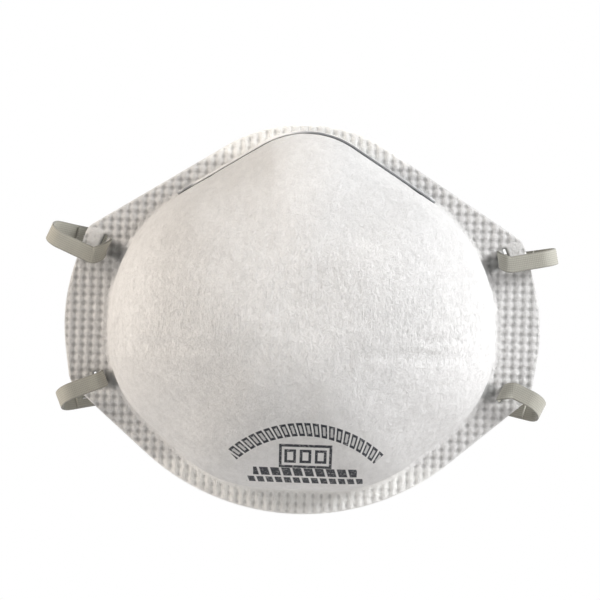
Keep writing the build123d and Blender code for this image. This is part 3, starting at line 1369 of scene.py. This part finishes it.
@dataclass
class NoseBridge:
    """The line over the cup's nose that the clip and the cushion follow."""

    form: MaskForm

    def line(self, offset: float, ways: np.ndarray) -> np.ndarray:
        """Points over the nose, in X and Z.

        Args:
            offset: How far outside the cup's outline the line runs.
            ways: Distance of each point from the middle, along the line.

        Returns:
            The points, one row each.
        """
        slope = self.form.upper_slope
        radius = self.form.cup_nose_reach / math.tan(slope) + offset
        peak = self.form.cup_nose_z + offset / math.cos(slope)
        centre = peak - radius / math.cos(slope)
        angle = np.clip(ways / radius, -slope, slope)
        beyond = ways - angle * radius
        x = radius * np.sin(angle) + beyond * np.cos(angle)
        z = centre + radius * np.cos(angle) - beyond * np.sin(angle)
        return np.stack([x, z], axis=1)


def rounded_bar(width: float, height: float, radius: float) -> np.ndarray:
    """Closed profile of a bar with rounded edges."""
    half = np.array([width / 2, height / 2])
    corners = [half * (1, 1), half * (-1, 1), half * (-1, -1), half * (1, -1)]
    return rounded_line(corners, [radius] * 4, max(width, height) / 16)


@dataclass
class NoseClip:
    """Soft aluminium strip bent over the bridge of the cup."""

    bridge: NoseBridge
    flange_front: float
    finish: RolledAluminium
    length: float = 90.0 * MM
    width: float = 5.0 * MM
    thickness: float = 0.6 * MM
    end_radius: float = 2.2 * MM
    clearance: float = 0.15 * MM

    def build(self) -> bpy.types.Object:
        """Builds the strip with rounded ends and softened edges."""
        half = self.length / 2
        tips = half - self.end_radius * (1 - np.sin(np.linspace(0, math.pi / 2, 14)))
        straight = np.linspace(-tips[0], tips[0], 150)
        ways = np.concatenate([-tips[:0:-1], straight, tips[1:]])
        flat = self.bridge.line(self.clearance + self.thickness / 2, ways)
        middle = self.flange_front - self.clearance - self.width / 2
        line = np.stack([flat[:, 0], np.full(len(flat), middle), flat[:, 1]], axis=1)
        across = np.tile([0.0, 1.0, 0.0], (len(line), 1))
        inset = np.clip(np.abs(ways) - (half - self.end_radius), 0, self.end_radius)
        corner = self.end_radius - np.sqrt(self.end_radius**2 - inset**2 * 0.998)
        wide = 1 - corner / (self.width / 2)
        scales = np.stack([wide, np.ones(len(ways))], axis=1)
        profile = rounded_bar(self.width, self.thickness, 0.2 * MM)
        piece = sweep("nose_strip", line, across, profile, scales)
        piece.data.materials.append(self.finish.make())
        return hand_over(piece, "cup", "clip_aluminium", "nose_clip")


@dataclass
class NoseCushion:
    """Open-cell foam strip inside the nose of the cup, following its wall."""

    bridge: NoseBridge
    crown: float
    finish: OpenCellFoam
    wall: float = 2.3 * MM
    length: float = 84.0 * MM
    width: float = 10.0 * MM
    thickness: float = 4.0 * MM
    setback: float = 0.6 * MM

    def build(self) -> bpy.types.Object:
        """Builds the strip, crowned towards the face and cut rough at its ends."""
        form = self.bridge.form
        ways = np.linspace(-1, 1, 170)
        ways = np.sign(ways) * (1 - (1 - np.abs(ways)) ** 1.15) * self.length / 2
        end = (self.length / 2 - np.abs(ways)) / (1.4 * MM)
        swell = np.clip(1 - (1 - np.clip(end, 0, 1)) ** 2, 0.02, 1) ** 0.5
        profile = rounded_bar(self.width, self.thickness, 0.9 * MM)
        profile = np.concatenate([(profile + np.roll(profile, -1, 0)) / 2, profile], axis=1)
        profile = profile.reshape(-1, 2)[::-1]
        points = np.zeros((len(ways), len(profile), 3))
        for i, (across, out) in enumerate(profile):
            depth = self.setback + self.width / 2 + across * swell
            crowned = out * swell - 0.25 * MM * (out < 0) * np.cos(math.pi * across / self.width)
            share = self.bridge_share(depth)
            offset = crowned - self.wall - self.thickness / 2
            for k, way in enumerate(ways):
                x, z = self.bridge.line(offset[k], np.array([way]))[0]
                lift = form.crown_lift * share[k][1] ** 2
                points[k, i] = (x * share[k][0], -depth[k], z * share[k][0] + lift)
        flat = points.reshape(-1, 3)
        flat += 0.05 * MM * ripple(flat, 1.1 * MM)[:, None] * (0.3, 1.0, 0.3)
        piece = make_object("nose_cushion", flat, tube_faces(len(ways), len(profile)))
        turn_outwards(piece)
        piece.data.materials.append(self.finish.make())
        return hand_over(piece, "cup", "cushion_foam", "nose_foam")

    def bridge_share(self, depth: np.ndarray) -> np.ndarray:
        """The cup's share of its outline, and of its height, at each depth."""
        along = depth / -self.crown
        return np.stack([self.bridge.form.across(along), along], axis=1)


# ---------------------------------------------------------------------------------------
# Studio
# ---------------------------------------------------------------------------------------


@dataclass(frozen=True)
class Lamp:
    """One soft square light."""

    name: str
    place: tuple[float, float, float]
    size: float
    power: float
    colour: tuple[float, float, float]

    def build(self, target: Vector) -> None:
        """Makes the light, aimed at the target."""
        light = bpy.data.lights.new(self.name, "AREA")
        light.shape = "SQUARE"
        light.size = self.size
        light.energy = self.power
        light.color = self.colour
        lamp = bpy.data.objects.new(self.name, light)
        lamp.location = self.place
        lamp.rotation_euler = (target - lamp.location).to_track_quat("-Z", "Y").to_euler()
        bpy.context.scene.collection.objects.link(lamp)


@dataclass
class Studio:
    """Camera, soft lights, white surroundings and a pale floor well below the mask."""

    floor_finish: PaleFloor
    distance: float = 0.70
    field_width: float = 0.1856
    aim_x: float = -0.9 * MM
    aim_z: float = 5.8 * MM
    azimuth: float = math.radians(0.5)
    elevation: float = math.radians(0.0)
    roll: float = math.radians(2.0)
    sensor: float = 36.0
    floor_drop: float = 0.25
    floor_half: float = 0.95
    ambient: float = 0.25
    lamps: tuple[Lamp, ...] = (
        Lamp("left_softbox", (-1.03, -0.25, 0.48), 0.50, 13.2, (1.0, 0.91, 0.81)),
        Lamp("right_softbox", (1.00, -0.36, 0.53), 0.42, 19.5, (0.98, 0.99, 1.0)),
        Lamp("top_softbox", (0.0, -0.60, 1.00), 0.60, 0.8, (1.0, 1.0, 1.0)),
        Lamp("back_fill", (0.2, 1.10, 0.50), 0.80, 11.0, (1.0, 1.0, 1.0)),
    )

    def build(self) -> None:
        """Builds the camera, the world, the lamps and the floor."""
        self.build_camera()
        self.build_world()
        for lamp in self.lamps:
            lamp.build(Vector((0, 0, 0)))
        self.build_floor()
        bpy.context.scene.view_settings.view_transform = "Standard"

    def build_camera(self) -> None:
        """Places the camera in front of the mask, level with its middle."""
        camera = bpy.data.cameras.new("camera")
        camera.sensor_width = self.sensor
        camera.lens = self.sensor * self.distance / self.field_width
        camera.dof.use_dof = False
        eye = bpy.data.objects.new("camera", camera)
        cos, sin = math.cos(self.azimuth), math.sin(self.azimuth)
        target = Vector((self.aim_x, 0, self.aim_z))
        level = math.cos(self.elevation)
        away = Vector((sin * level, -cos * level, math.sin(self.elevation)))
        eye.location = target + away * self.distance
        eye.rotation_mode = "QUATERNION"
        level_turn = (-away).to_track_quat("-Z", "Y")
        eye.rotation_quaternion = Quaternion(away, self.roll) @ level_turn
        bpy.context.scene.collection.objects.link(eye)
        bpy.context.scene.camera = eye

    def build_world(self) -> None:
        """White surroundings that light the mask more softly than they show."""
        world = bpy.data.worlds.new("surroundings")
        tree = Tree(world)
        white = tint(1, 1, 1)
        soft = tree.node("ShaderNodeBackground", None, {0: white, 1: self.ambient})
        seen = tree.node("ShaderNodeBackground", None, {0: white, 1: 1.0})
        rays = tree.node("ShaderNodeLightPath").outputs["Is Camera Ray"]
        links = {0: rays, 1: soft.outputs[0], 2: seen.outputs[0]}
        mix = tree.node("ShaderNodeMixShader", None, links)
        tree.node("ShaderNodeOutputWorld", None, {"Surface": mix.outputs[0]})
        bpy.context.scene.world = world

    def build_floor(self) -> None:
        """A large flat floor with rounded corners."""
        half = self.floor_half
        corners = [(half, half), (-half, half), (-half, -half), (half, -half)]
        rim = rounded_line(corners, [half * 0.9] * 4, 0.1)
        points = np.stack([rim[:, 0], rim[:, 1], np.full(len(rim), -self.floor_drop)], axis=1)
        floor = make_object("studio_floor", points, [list(range(len(points)))])
        floor.data.materials.append(self.floor_finish.make())


# ---------------------------------------------------------------------------------------
# The mask
# ---------------------------------------------------------------------------------------


@dataclass
class DustMask:
    """The whole mask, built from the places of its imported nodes."""

    cover_pressed: float = 0.4 * MM
    grid: float = 0.5 * MM
    coarse_cells: int = 90
    fine_cells: int = 190

    def __post_init__(self) -> None:
        """Reads the mask's size from its cover."""
        low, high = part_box("outer_cover")
        self.form = MaskForm((high.x - low.x) / 2, (high.z - low.z) / 2)
        self.crown = low.y
        self.feet = [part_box(node)[1].y for node in self.nodes()]
        self.feet.append(self.feet[-1] - self.cover_pressed)

    @staticmethod
    def nodes() -> tuple[str, ...]:
        """The plies' nodes from the face outwards."""
        return ("inner_lining", "support_shell", "filter_web", "outer_cover")

    def finishes(self) -> tuple[Nonwoven, ...]:
        """The plies' finishes from the face outwards."""
        return (
            Nonwoven("lining_nonwoven", tint(0.80, 0.79, 0.77), tint(0.68, 0.67, 0.66)),
            Nonwoven("shell_nonwoven", tint(0.74, 0.74, 0.75), tint(0.62, 0.62, 0.64)),
            Nonwoven("filter_media", tint(0.82, 0.82, 0.83), tint(0.70, 0.70, 0.72)),
            Nonwoven(
                "cover_nonwoven",
                tint(0.86, 0.85, 0.84),
                tint(0.66, 0.65, 0.64),
                ink=PrintedInk(),
            ),
        )

    def build_plies(self) -> None:
        """Builds the four plies."""
        nodes = self.nodes()
        walls = (0.3 * MM, 1.0 * MM, 0.4 * MM, 0.5 * MM)
        inset = sum(walls)
        gap = 0.05 * MM
        dents = (
            Dent(35 * MM, -9.5 * MM, 13 * MM, 1.9 * MM, 0.70 * MM),
            Dent(41 * MM, -4.6 * MM, 9 * MM, 1.4 * MM, 0.50 * MM),
            Dent(-40 * MM, -9.0 * MM, 14 * MM, 2.0 * MM, 0.45 * MM),
            Dent(-18 * MM, 14 * MM, 15 * MM, 9 * MM, 0.22 * MM),
            Dent(16 * MM, 27 * MM, 10 * MM, 6 * MM, 0.20 * MM),
        )
        for i, (node, finish, wall) in enumerate(zip(nodes, self.finishes(), walls)):
            face_inset = inset if i == 0 else inset - gap
            inset -= wall
            innermost, outermost = i == 0, i == len(nodes) - 1
            ply = Ply(
                node,
                finish.name,
                finish,
                self.form,
                self.sheet(inset, self.feet[i + 1], outermost, -1),
                self.sheet(face_inset, self.feet[i], innermost, 1),
                grain=0.15 * MM if outermost else 0.0,
                dents=dents if outermost else (),
            )
            ply.build()

    def sheet(self, inset: float, foot: float, shown: bool, outwards: int) -> Sheet:
        """One face of a ply, finely divided where it shows."""
        return Sheet(
            self.form,
            inset,
            foot,
            self.crown + inset,
            self.fine_cells if shown else self.coarse_cells,
            self.grid if shown else 2.2 * MM,
            self.grid,
            Emboss(depth=0.48 * MM if outwards < 0 else 0.20 * MM) if shown else None,
            outwards,
        )

    def build_nose(self) -> None:
        """Builds the clip and the cushion."""
        bridge = NoseBridge(self.form)
        NoseClip(bridge, self.feet[-1], RolledAluminium("clip_aluminium")).build()
        foam = OpenCellFoam("cushion_foam", tint(0.52, 0.52, 0.53), tint(0.28, 0.28, 0.30))
        NoseCushion(bridge, self.crown, foam).build()

    def build_bands(self) -> None:
        """Builds the two headbands. Each hand-threaded loop has its own reach and set."""
        middle = -self.feet[-1] / 2
        elastic = RibbedElastic("elastic", tint(0.47, 0.455, 0.395), tint(0.20, 0.196, 0.172))
        steel = DrawnSteel("staple_steel")
        degrees = math.radians
        sets = {
            (1, 1): (15.4 * MM, 5.2 * MM, 3.2 * MM, -2.2 * MM, degrees(4), degrees(-10.5)),
            (-1, 1): (16.6 * MM, 5.4 * MM, 2.4 * MM, -2.7 * MM, degrees(20), degrees(1)),
            (1, -1): (13.5 * MM, 5.0 * MM, 0.9 * MM, -0.6 * MM, degrees(22), degrees(3)),
            (-1, -1): (13.7 * MM, 5.0 * MM, 3.0 * MM, 2.0 * MM, degrees(18), degrees(0)),
        }
        slits = self.form.slits()
        for level in (1, -1):
            loops = [
                Loop(side, height, x, z, *sets[side, height])
                for side, height, x, z in slits
                if height == level
            ]
            Headband(level, tuple(loops), middle, elastic, steel).build()


def main() -> None:
    """Builds the studio and the mask."""
    logging.basicConfig(level=logging.INFO, format="%(message)s")
    Studio(PaleFloor("studio_floor")).build()
    mask = DustMask()
    mask.build_plies()
    mask.build_nose()
    mask.build_bands()


if __name__ == "__main__":
    main()
